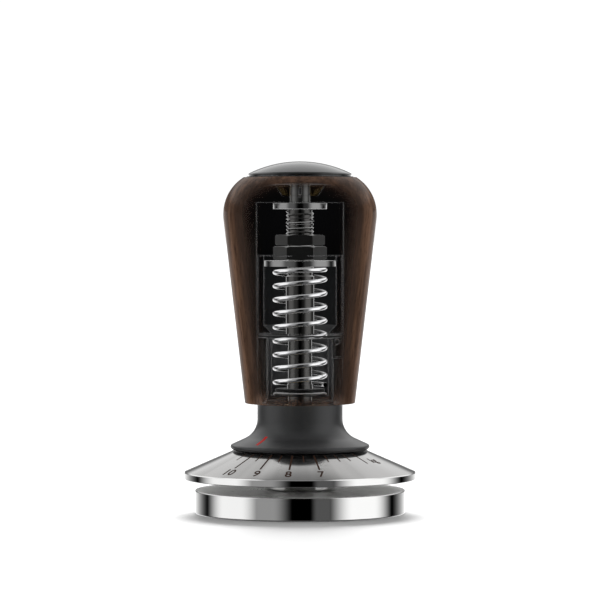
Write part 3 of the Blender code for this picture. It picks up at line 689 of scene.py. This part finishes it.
def make_base():
    outline = [
        (BASE_R, 0),
        (BASE_R, BASE_TOP),
        (6 * MM, BASE_TOP),
        (5.5 * MM, BASE_TOP - 0.4 * MM),
        (0, BASE_TOP - 0.4 * MM),
    ]
    disc = turn("base_disc", outline, SIDES)
    soften(disc, 0.35 * MM, 3, 40)
    smooth(disc)
    fit(disc, "base", "tamping_base", POLISHED)
    disc.data.materials.append(TURNED_TOP)
    for face in disc.data.polygons:
        face.material_index = int(face.normal.z > 0.9)

    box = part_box("piston_stem")
    seat = BASE_TOP + CLEARANCE
    stem_r, nose_r = box[1].x, box[1].y
    shoulder = HUB_TOP - (SKIRT_LOW - BASE_TOP)
    outline = [
        (5.2 * MM, box[0].z),
        (5.2 * MM, seat),
        (stem_r, seat),
        (stem_r, shoulder),
        (nose_r - 0.3 * MM, shoulder),
        (nose_r - 0.3 * MM, box[1].z),
        (5.75 * MM, box[1].z),
        (5.75 * MM, box[1].z - 8 * MM),
        (0, box[1].z - 8 * MM),
    ]
    stem = turn("stem", outline, INNER_SIDES)
    for side in (-1, 1):
        hold(stem)
        bpy.ops.object.mode_set(mode="EDIT")
        bpy.ops.mesh.select_all(action="SELECT")
        bpy.ops.mesh.bisect(
            plane_co=(0, side * nose_r, 0), plane_no=(0, side, 0), use_fill=True, clear_outer=True
        )
        bpy.ops.object.mode_set(mode="OBJECT")
    soften(stem, 0.12 * MM, 2)
    smooth(stem)
    fit(stem, "base", "piston_stem", POLISHED)


def make_cup():
    bore = BARREL_R - 1.65 * MM
    lower_r, lower_bore = NECK_BORE_R - 0.3 * MM, 7.97 * MM
    shoulder = CUP_SHOULDER
    floor = low("spring_seat") - CLEARANCE
    bottom = floor - 1.4 * MM
    outline = [
        (3.9 * MM, CUP_LOW),
        (5.45 * MM, CUP_LOW),
        (5.45 * MM, bottom),
        (lower_r, bottom),
        (lower_r, shoulder),
        (BARREL_R, shoulder),
        (BARREL_R, CUP_TOP),
        (bore, CUP_TOP),
        (bore, shoulder + 2.4 * MM),
        (lower_bore, shoulder),
        (lower_bore, floor),
        (3.9 * MM, floor),
    ]
    cup = turn("cup", outline, INNER_SIDES)
    keyway_floor = CUP_TOP - 7.1 * MM
    for side in (-1, 1):
        near, far = sorted((side * (bore - MM), side * (BARREL_R + MM)))
        slot = block("keyway_tool", (-2 * MM, near, keyway_floor), (2 * MM, far, CUP_TOP + MM))
        cut(cup, slot)
    soften(cup, 0.15 * MM, 2)
    smooth(cup)
    fit(cup, "base", "spring_cup", CUP_OUTSIDE)
    for finish_used in (CUP_BORE, FOOT_OUTSIDE, FOOT_BORE):
        cup.data.materials.append(finish_used)
    for face in cup.data.polygons:
        distance = math.hypot(face.center.x, face.center.y)
        foot = face.center.z < shoulder + 2.4 * MM
        inner = distance < (lower_bore if face.center.z < shoulder else bore) + 0.05 * MM
        if face.center.z > floor - 0.1 * MM:
            face.material_index = 2 * foot + inner
        else:
            face.material_index = 2
    only_for_the_eye(cup)


def coil(turns, height, size, start_height, closed=0.0, steps=48):
    """A right-hand coil that starts on the right and flattens over its closed ends."""
    count = round(turns * steps)
    rises = []
    for i in range(count):
        at = (i + 0.5) * turns / count
        opened = min(1.0, min(at, turns - at) / closed) if closed else 1.0
        rises.append(0.1 + 0.9 * opened**2)
    scale = height / sum(rises)
    points, rise = [], 0.0
    for i in range(count + 1):
        angle = math.tau * turns * i / count
        points.append((size * math.cos(angle), size * math.sin(angle), start_height + rise * scale))
        rise += rises[min(i, count - 1)]
    return points


def make_spring():
    lowest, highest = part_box("compression_spring")
    height = highest.z - lowest.z - WIRE_THICKNESS
    points = coil(COIL_TURNS, height, COIL_R, lowest.z + WIRE_THICKNESS / 2, FLAT_TURNS)
    spring = wound("coil_spring", points, WIRE_THICKNESS, 4)
    spring.data.materials.clear()
    spring.data.materials.append(WIRE)
    smooth(spring, 50)
    spring.visible_glossy = False
    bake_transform(spring)
    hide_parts("compression_spring")


def plain_ring(node, name, body, finish_used, inner, edge=0.08 * MM):
    lowest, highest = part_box(node)
    piece = turn(name, ring(inner, highest.x, lowest.z, highest.z), INNER_SIDES, edge)
    piece.visible_glossy = False
    return fit(piece, body, node, finish_used)


# ---------------------------------------------------------------- dial


def make_dial():
    corner = SKIRT_LOW + RIM_THICKNESS
    land = corner + CONE_RISE
    recess = land - 0.7 * MM
    outline = [
        (KEYED_BORE_R, SKIRT_LOW),
        (12.8 * MM, SKIRT_LOW),
        (13.9 * MM, SKIRT_LOW + 1.1 * MM),
        (25.9 * MM, SKIRT_LOW + 1.1 * MM),
        (27.0 * MM, SKIRT_LOW),
        (SKIRT_R - 0.15 * MM, SKIRT_LOW),
        (SKIRT_R, SKIRT_LOW + 0.15 * MM),
        (SKIRT_R, corner - 0.22 * MM),
        (SKIRT_R - 0.16 * MM, corner + 0.03 * MM),
        (SKIRT_R - 0.4 * MM, corner + CONE_SLOPE * 0.4 * MM),
        (LAND_R + 5 * MM, corner + CONE_SLOPE * (SKIRT_R - LAND_R - 5 * MM)),
        (LAND_R, land),
        (16.9 * MM, land),
        (16.9 * MM, recess),
        (HUB_R, recess),
        (HUB_R, land + 1.15 * MM),
        (HUB_R - 0.7 * MM, land + 1.15 * MM),
        (HUB_R - 0.7 * MM, land + 2.55 * MM),
        (HUB_R, land + 2.55 * MM),
        (HUB_R, HUB_TOP - MM),
        (KEYED_BORE_R, HUB_TOP - MM),
    ]
    skirt = turn("dial_cone", outline, SIDES)
    smooth(skirt, 20)
    fit(skirt, "dial", "dial_skirt", SATIN)
    skirt.data.materials.append(POLISHED)
    skirt.data.materials.append(DULL_STEEL)
    for face in skirt.data.polygons:
        distance = math.hypot(face.center.x, face.center.y)
        if distance > SKIRT_R - 0.2 * MM and face.center.z < corner:
            face.material_index = 1
        elif face.normal.z < -0.5:
            face.material_index = 2


def cone_height(r):
    return SKIRT_LOW + RIM_THICKNESS + CONE_SLOPE * (SKIRT_R - r)


PROUD = 0.02 * MM


def mark(name, angle, inner, outer, width, height_of, lift, finish_used, body, steps=6):
    """A thin filled line down a slope, at an angle in degrees from the front, to the right."""
    turned = math.radians(angle - 90)
    out, across = Vector((math.cos(turned), math.sin(turned), 0)), Vector((-math.sin(turned), math.cos(turned), 0))
    deselect()
    bpy.ops.mesh.primitive_grid_add(x_subdivisions=steps, y_subdivisions=1, size=1)
    piece = bpy.context.active_object
    piece.name = name
    for vertex in piece.data.vertices:
        r = inner + (outer - inner) * (vertex.co.x + 0.5)
        place = out * r + across * (vertex.co.y * width)
        place.z = height_of(r) + lift
        vertex.co = place
    apply_modifier(piece, "SOLIDIFY", thickness=2 * lift, offset=-1)
    piece.data.materials.append(finish_used)
    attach(piece, body)
    return piece


LOWEST_MARK = 7
HIGHEST_MARK = 10
DEGREES_PER_MARK = 17.6
FIRST_ANGLE = 11.4
UNIT_ANGLE = 49
POINTER_ANGLE = -42
NUMERAL_R = 29.2 * MM
NUMERAL_HEIGHT = 3.2 * MM
NUMERAL_WIDTH = 0.88  # how much wider than the plain letter


def ink(name, colour, rough):
    made, _, _ = grained(name, colour, rough, 0.0, 0.2, 0.05, gloss=0.05)
    return made


BROWN_INK = ink("scale_ink", (0.045, 0.022, 0.014), 0.5)
RED_INK = ink("pointer_red", (0.5, 0.006, 0.004), 0.4)


def numeral(text, angle, r=NUMERAL_R, size=NUMERAL_HEIGHT):
    """A number that lies on the cone and reads from outside."""
    deselect()
    bpy.ops.object.text_add()
    piece = bpy.context.active_object
    piece.data.body = text
    piece.data.align_x = "CENTER"
    piece.data.align_y = "CENTER"
    piece.data.size = size / 0.72
    piece.data.offset = 0.07 * MM
    piece.data.extrude = PROUD
    piece.data.resolution_u = 4
    piece.name = "number_" + text
    bpy.ops.object.convert(target="MESH")
    piece = bpy.context.active_object
    slope = math.atan(CONE_SLOPE)
    turned = math.radians(angle)
    for vertex in piece.data.vertices:
        # the text's own up runs up the cone, and its sides bend round it
        along = r - vertex.co.y * math.cos(slope)
        swing = turned + NUMERAL_WIDTH * vertex.co.x / r
        vertex.co = Vector(
            (along * math.sin(swing), -along * math.cos(swing), cone_height(along) + vertex.co.z + PROUD / 2)
        )
    piece.data.materials.append(BROWN_INK)
    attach(piece, "dial")
    return piece


def make_scale():
    ticks = 2 * (HIGHEST_MARK - LOWEST_MARK) + 1
    for i in range(-3, ticks + 1):
        angle = FIRST_ANGLE - i * DEGREES_PER_MARK / 2
        numbered = i >= 0 and i % 2 == 0
        reach = 26.8 * MM if numbered else 22.6 * MM
        width = 0.5 * MM if numbered else 0.36 * MM
        name = f"tick_{i + 3}"
        mark(name, angle, LAND_R + 0.2 * MM, reach, width, cone_height, PROUD, BROWN_INK, "dial")
        if numbered:
            numeral(str(LOWEST_MARK + i // 2), angle)
    mark(
        "tick_unit", UNIT_ANGLE, LAND_R + 0.2 * MM, 24.5 * MM, 0.42 * MM, cone_height, PROUD, BROWN_INK, "dial",
    )
    numeral("kg", UNIT_ANGLE + 10, 23.4 * MM, 2.6 * MM)


# ---------------------------------------------------------------- collar, detent and pointer

FLARE_TOP_R = 15.3 * MM
FLARE_DEGREES = 25
LIP_EDGE = 0.3 * MM
LIP_TOP = COLLAR_LOW + 1.5 * MM
FLARE_RISE = math.tan(math.radians(FLARE_DEGREES))
FLARE_TOP = LIP_TOP + (LIP_R - 0.4 * MM - FLARE_TOP_R) * FLARE_RISE
THROAT_ROUND = (FLARE_TOP_R - BARREL_R) / (1 - math.sin(math.radians(FLARE_DEGREES)))
THROAT = (BARREL_R + THROAT_ROUND, FLARE_TOP + THROAT_ROUND * math.cos(math.radians(FLARE_DEGREES)))


def flare_height(r):
    if r >= FLARE_TOP_R:
        return LIP_TOP + (LIP_R - 0.4 * MM - r) * FLARE_RISE
    return THROAT[1] - math.sqrt(THROAT_ROUND**2 - (THROAT[0] - r) ** 2)


def make_collar():
    ceiling = HUB_TOP + CLEARANCE
    outline = [
        (POCKET_R, COLLAR_LOW),
        (LIP_R - 0.8 * MM, COLLAR_LOW),
        *arc((LIP_R - 0.7 * MM, LIP_TOP - 0.6 * MM), 0.7 * MM, -38, 90 - FLARE_DEGREES, 8),
        *arc(THROAT, THROAT_ROUND, 270 - FLARE_DEGREES, 180, 16),
        (BARREL_R, NECK_TOP),
        (NECK_BORE_R, NECK_TOP),
        (NECK_BORE_R, ceiling),
        (POCKET_R, ceiling),
    ]
    piece = turn("flared_collar", outline, SIDES)
    pocket = block(
        "pocket_tool", (NECK_BORE_R - MM, -1.6 * MM, NECK_TOP - 5.8 * MM), (BARREL_R + MM, 1.6 * MM, NECK_TOP + MM)
    )
    cut(piece, pocket)
    smooth(piece)
    fit(piece, "handle", "collar", collar_finish())
    # the neck's bore takes the foot's far wall of painted shade
    piece.data.materials.append(FOOT_BORE)
    for face in piece.data.polygons:
        if math.hypot(face.center.x, face.center.y) < NECK_BORE_R + 0.02 * MM and face.center.z > HANDLE_LOW:
            face.material_index = 1
    mark(
        "red_pointer", POINTER_ANGLE, 13.8 * MM, LIP_R - 0.6 * MM, 1.0 * MM, flare_height, PROUD, RED_INK, "handle",
        12,
    )


def make_detent():
    lowest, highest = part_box("detent_ball")
    middle = (lowest + highest) / 2
    deselect()
    bpy.ops.mesh.primitive_ico_sphere_add(subdivisions=4, radius=highest.z - middle.z, location=middle)
    ball = bpy.context.active_object
    ball.name = "click_ball"
    settle(ball)
    smooth(ball, 60)
    fit(ball, "handle", "detent_ball", SEAT_STEEL)
    ball.visible_glossy = False
    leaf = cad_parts["detent_leaf"]
    leaf.data.materials.clear()
    leaf.data.materials.append(SEAT_STEEL)
    leaf.visible_glossy = False


# ---------------------------------------------------------------- handle and cap


def tangent_degrees(point, centre, size):
    """Where a line that rises from the point touches the outer side of a circle, as an angle on the circle."""
    dx, dz = centre[0] - point[0], centre[1] - point[1]
    return -math.degrees(math.atan2(dx, dz) + math.asin(size / math.hypot(dx, dz)))


def make_handle():
    centre_r = BELLY_R - SHOULDER_ROUND
    reach = HANDLE_TOP_R - centre_r
    centre = (centre_r, HANDLE_TOP - math.sqrt(SHOULDER_ROUND**2 - reach**2))
    foot = (HANDLE_END_R, HANDLE_LOW + 0.4 * MM)
    start = tangent_degrees(foot, centre, SHOULDER_ROUND)
    end = math.degrees(math.acos(reach / SHOULDER_ROUND))
    recess = DISC_LOW - CLEARANCE
    ceiling = recess - WOOD_WEB
    recess_r = DISC_R + CLEARANCE
    outline = [
        (HANDLE_BORE_R, HANDLE_LOW),
        (HANDLE_END_R - 0.4 * MM, HANDLE_LOW),
        (HANDLE_END_R - 0.1 * MM, HANDLE_LOW + 0.12 * MM),
        foot,
        *arc(centre, SHOULDER_ROUND, start, end, 28),
        (recess_r, HANDLE_TOP),
        (recess_r, recess),
        (6.9 * MM, recess),
        (5.0 * MM, low("centring_cone") - CLEARANCE),
        (3.1 * MM, low("centring_cone") - CLEARANCE),
        (3.1 * MM, ceiling),
        (HANDLE_BORE_R, ceiling),
    ]
    handle = turn("walnut_handle", outline, SIDES)
    fit(handle, "handle", "wooden_handle", wood_outside())
    handle.data.materials.append(wood_inside())
    only_for_the_eye(handle)
    for face in handle.data.polygons:
        distance = math.hypot(face.center.x, face.center.y)
        in_bore = distance < HANDLE_BORE_R + 0.1 * MM
        in_recess = distance < recess_r + 0.01 * MM and face.center.z > ceiling
        if in_bore or in_recess:
            face.material_index = 1


def make_cap():
    crown = DOME_TOP - DOME_LOW - 0.5 * MM
    size = (DOME_R**2 + crown**2) / (2 * crown)
    centre = (0, DOME_TOP - size)
    rim = math.degrees(math.acos(DOME_R / size))
    outline = [
        (DOME_R - 0.15 * MM, DISC_TOP + 0.01 * MM),
        (DOME_R - 0.15 * MM, DOME_LOW),
        (DOME_R, DOME_LOW + 0.12 * MM),
        (DOME_R, DOME_LOW + 0.35 * MM),
        (DOME_R - 0.15 * MM, DOME_LOW + 0.55 * MM),
        *arc(centre, size, rim + 1, 90, 22)[:-1],
        (0, DOME_TOP),
    ]
    dome = turn("domed_cap", outline, SIDES)
    fit(dome, "handle", "cap_dome", GLOSS_BLACK)

    seat = DISC_TOP - 1.4 * MM
    outline = [
        (3.1 * MM, DISC_LOW),
        (DISC_R, DISC_LOW),
        (DISC_R, DISC_TOP),
        (6.5 * MM, DISC_TOP),
        (6.5 * MM, seat),
        (3.1 * MM, seat),
    ]
    disc = turn("disc_under_cap", outline, SIDES, 0.12 * MM)
    fit(disc, "handle", "cap_disc", DARK_PLATE)

    tip, head_top = low("cap_screw"), high("cap_screw")
    head = head_top - 0.8 * MM
    outline = [
        (2.2 * MM, tip),
        (2.2 * MM, FLANGE_LOW),
        (2.8 * MM, FLANGE_LOW),
        (2.8 * MM, head),
        (6.2 * MM, head),
        (6.2 * MM, head_top),
        (2.2 * MM, head_top),
        (2.0 * MM, head_top - 0.4 * MM),
        (0, head_top - 0.4 * MM),
    ]
    screw = turn("shouldered_screw", outline, INNER_SIDES)
    key_low, key_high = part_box("cap_key")
    slot = block(
        "slot_tool",
        (key_low.x - 0.15 * MM, -3.2 * MM, key_low.z - 0.6 * MM),
        (key_high.x + 0.15 * MM, key_high.y + 0.3 * MM, key_high.z + 0.5 * MM),
    )
    cut(screw, slot)
    soften(screw, 0.1 * MM, 2)
    smooth(screw)
    fit(screw, "handle", "cap_screw", BLACK_OXIDE)

    key = block("slot_key", key_low, key_high)
    soften(key, 0.1 * MM, 2)
    smooth(key)
    fit(key, "handle", "cap_key", DARK_STEEL)

    cone_low, cone_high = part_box("centring_cone")
    outline = [
        (3.1 * MM, cone_low.z),
        (4.7 * MM, cone_low.z),
        (6.6 * MM, cone_high.z),
        (3.1 * MM, cone_high.z),
    ]
    cone = turn("brass_cone", outline, INNER_SIDES, 0.08 * MM)
    fit(cone, "handle", "centring_cone", BRASS_GLASSY)
    only_for_the_eye(cone)
    for piece in (dome, disc, screw, key):
        piece.visible_glossy = False


# ---------------------------------------------------------------- rod and nuts

THREAD_PITCH = 1.0 * MM


def make_rod():
    core = ROD_R - 0.5 * MM
    shank = 3.3 * MM
    step = CUP_SHOULDER
    boss = low("spring_seat") + CLEARANCE
    outline = [
        (shank - 0.3 * MM, ROD_LOW),
        (shank, ROD_LOW + 0.3 * MM),
        (shank, boss),
        (3.52 * MM, boss),
        (3.52 * MM, boss + 2.6 * MM),
        (shank, boss + 2.6 * MM),
        (shank, step),
        (ROD_R, step),
        (ROD_R, CUP_TOP - 6 * MM),
        (core, CUP_TOP - 5.7 * MM),
        (core, ROD_TOP),
        (2.5 * MM, ROD_TOP),
        (2.5 * MM, ROD_TOP - 5 * MM),
        (0, ROD_TOP - 5 * MM),
    ]
    rod = turn("rod", outline, INNER_SIDES)
    start = CUP_TOP - 5.5 * MM
    length = ROD_TOP - start - 0.4 * MM
    ridge = wound("thread_ridge", coil(length / THREAD_PITCH, length, ROD_R - 0.3 * MM, start), 0.6 * MM, 0)
    hold(rod)
    ridge.select_set(True)
    bpy.ops.object.join()
    smooth(rod, 40)
    fit(rod, "handle", "threaded_rod", BLACKENED)
    rod.visible_glossy = False


def make_nut(node, name, finish_used):
    lowest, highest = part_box(node)
    corner_r = highest.x
    deselect()
    bpy.ops.mesh.primitive_cylinder_add(
        vertices=6, radius=corner_r, depth=highest.z - lowest.z, location=(0, 0, (highest.z + lowest.z) / 2),
        rotation=(0, 0, math.radians(30)),
    )
    nut = bpy.context.active_object
    nut.name = name
    settle(nut)
    facing = max(abs(v.co.x) for v in nut.data.vertices)
    if facing < corner_r - 0.1 * MM:
        hold(nut)
        bpy.ops.transform.rotate(value=math.radians(30), orient_axis="Z", center_override=(0, 0, 0))
        settle(nut)
    chamfer = 0.35 * MM
    barrel = turn(
        "chamfer_tool",
        [
            (corner_r - 0.6 * MM, lowest.z),
            (corner_r + 0.1 * MM, lowest.z + chamfer),
            (corner_r + 0.1 * MM, highest.z - chamfer),
            (corner_r - 0.6 * MM, highest.z),
            (0, highest.z),
        ],
    )
    cut(nut, barrel, "INTERSECT")
    inner = ROD_R + CLEARANCE
    drill = turn(
        "drill_tool",
        [(inner, lowest.z - MM), (inner, highest.z + MM), (0, highest.z + MM)],
    )
    cut(nut, drill)
    soften(nut, 0.04 * MM, 1, 25)
    smooth(nut, 20)
    fit(nut, "preload_nuts", node, finish_used)
    nut.visible_glossy = False


def make_plate():
    lowest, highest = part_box("spring_plate")
    plate_r = highest.x
    plate = turn("keyed_plate", ring(ROD_R + 0.3 * MM, plate_r, lowest.z, highest.z), INNER_SIDES)
    for side in (-1, 1):
        near, far = sorted((side * (plate_r - 1.2 * MM), side * highest.y))
        lug = block("lug_tool", (-1.7 * MM, near, lowest.z), (1.7 * MM, far, highest.z))
        cut(plate, lug, "UNION")
    soften(plate, 0.12 * MM, 2)
    smooth(plate)
    fit(plate, "preload_nuts", "spring_plate", DARK_STEEL)
    plate.visible_glossy = False


# ---------------------------------------------------------------- studio


def make_floor():
    deselect()
    bpy.ops.mesh.primitive_plane_add(size=30, location=(0, 0, -0.00005))
    floor = bpy.context.active_object
    floor.name = "studio_floor"
    made, bench, shader = finish("white_floor", gloss=0.0)
    shader.inputs["Base Color"].default_value = (0.6, 0.6, 0.6, 1)
    shader.inputs["Roughness"].default_value = 0.9
    floor.data.materials.append(made)
    floor.visible_glossy = False

    # a broad soft light from behind that only the floor takes
    deselect()
    bpy.ops.object.light_add(type="SUN", rotation=(math.radians(-57), 0, 0))
    back_light = bpy.context.active_object
    back_light.name = "floor_light"
    back_light.data.energy = 8.5
    back_light.data.angle = math.radians(34)
    takers = bpy.data.collections.new("floor_light_takers")
    takers.objects.link(floor)
    back_light.light_linking.receiver_collection = takers


# Soft cards round the tamper: degrees from the camera, half width, width of the soft edge, and brightness
CARDS = {
    "white backdrop": (180, 5, 55, 1.3),
    "left softbox": (-80, 12, 31, 1.33),
    "right softbox": (74, 14, 32, 1.45),
    "left grey card": (-38, 8, 22, 0.4),
    "right dark card": (25, 6, 8, 0.12),
}


def make_studio():
    world = bpy.data.worlds.new("studio")
    bpy.context.scene.world = world
    world.use_nodes = True
    tree = world.node_tree
    bench = Bench(tree)
    sky = tree.nodes["Background"]
    sky.inputs["Color"].default_value = (1, 1, 1, 1)
    place = bench.add("ShaderNodeTexCoord")
    split = bench.add("ShaderNodeSeparateXYZ")
    bench.join(place.outputs["Generated"], split.inputs[0])
    x, y, z = split.outputs
    around = bench.maths("ARCTAN2", x, bench.maths("MULTIPLY", y, -1.0))
    wall = 0.0
    for place_degrees, half_width, soft_edge, brightness in CARDS.values():
        turned = bench.maths("SUBTRACT", around, math.radians(place_degrees))
        away = bench.maths("ARCCOSINE", bench.maths("COSINE", turned))
        inner, outer = math.radians(half_width), math.radians(half_width + soft_edge)
        wall = bench.maths("MAXIMUM", wall, bench.fade(away, inner, outer, brightness, 0.0))
    front = bench.fade(z, 0.8, 0.92, wall, 0.4)
    low_back = bench.fade(z, 0.02, 0.05, wall, 0.22)
    mid_back = bench.fade(z, 0.16, 0.32, low_back, 1.3)
    back = bench.fade(z, 0.75, 0.86, mid_back, 0.45)
    above = choose(bench, bench.fade(y, 0.0, 0.4), front, back)
    level = bench.fade(z, -0.6, -0.4, 0.1, above)
    bench.join(choose(bench, seen_directly(bench), level, 1.05), sky.inputs["Strength"])


def make_camera():
    place, aim = Vector((0, -0.917, 0.080)), Vector((0, 0, 0.0592))
    bpy.ops.object.camera_add(location=place)
    camera = bpy.context.active_object
    camera.data.lens = 198
    camera.data.sensor_width = 36
    camera.rotation_euler = (aim - place).to_track_quat("-Z", "Y").to_euler()
    bpy.context.scene.camera = camera
    bpy.context.scene.view_settings.view_transform = "Standard"


def keep_node(node, finish_used):
    """A hidden CAD node keeps its mesh and takes a better finish."""
    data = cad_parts[node].data
    data.materials.clear()
    data.materials.append(finish_used)


# ---------------------------------------------------------------- assembly

make_camera()
make_floor()
make_studio()
make_base()
make_cup()
make_spring()
make_dial()
make_scale()
make_collar()
make_detent()
make_handle()
make_cap()
make_rod()
make_nut("adjusting_nut", "adjusting_hex", BLACK_OXIDE)
make_nut("lock_nut", "locking_hex", BLACK_OXIDE)
make_plate()
plain_ring("spring_seat", "seat_plate", "base", SEAT_STEEL, 4.0 * MM)
plain_ring("thrust_washer", "dark_thrust_washer", "base", BLACK_PLASTIC, 4.0 * MM)
plain_ring("flange_washer", "ceiling_washer", "handle", DARK_STEEL, 3.1 * MM)
sleeve_bore = ROD_R + CLEARANCE
only_for_the_eye(
    plain_ring("rod_sleeve", "thin_sleeve", "handle", SLEEVE_GLASSY, sleeve_bore, 0.0)
)
plain_ring("slip_washer", "neck_washer", "handle", BLACK_PLASTIC, NECK_BORE_R)
keep_node("guide_bush", BRASS)
keep_node("dial_slip_ring", BLACK_PLASTIC)
keep_node("dial_snap_ring", SEAT_STEEL)

deselect()
